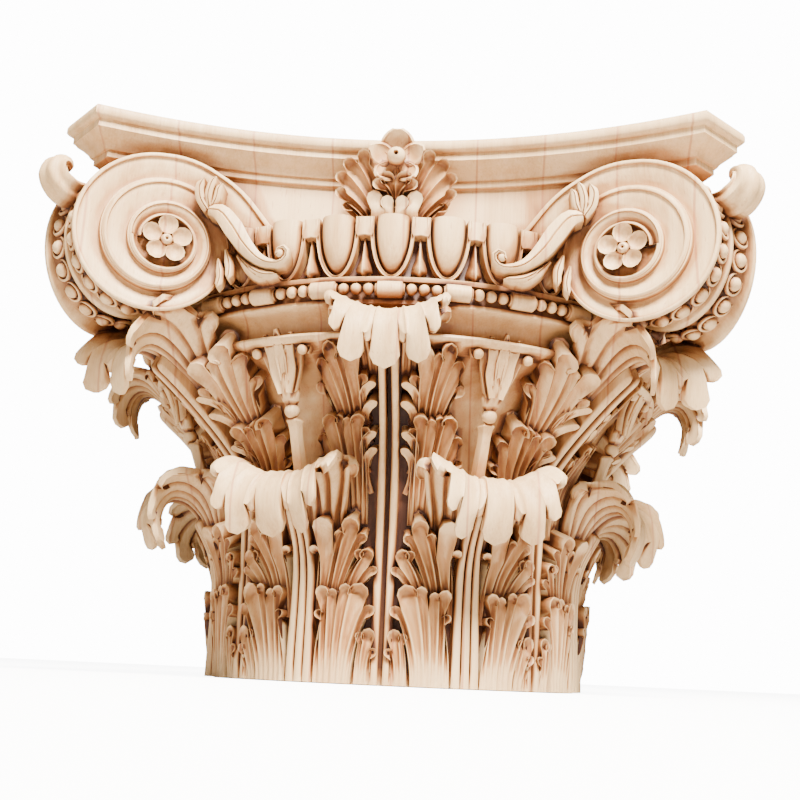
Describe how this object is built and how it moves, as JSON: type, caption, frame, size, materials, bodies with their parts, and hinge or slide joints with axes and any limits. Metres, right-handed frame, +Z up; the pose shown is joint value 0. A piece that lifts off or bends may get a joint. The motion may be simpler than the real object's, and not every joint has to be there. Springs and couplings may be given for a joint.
{
  "type": "composite capital",
  "caption": "Carved wooden column capital with curled acanthus leaves, corner volutes, an egg-and-dart ring and a hollow-sided moulded top.",
  "frame": {"origin": "middle of the flat underside, where the capital rests on its shaft", "axes": "+Z up along the column's axis; -Y is one of the four equal sides, and the corner volutes lie on the diagonals"},
  "size_m": [0.4122, 0.4122, 0.315],
  "materials": {
    "carved_wood": "bare hardwood boards glued side by side and carved, unvarnished, warmer and darker in the hollows"
  },
  "bodies": {
    "root": {"capital": "carved_wood"}
  },
  "joints": []
}
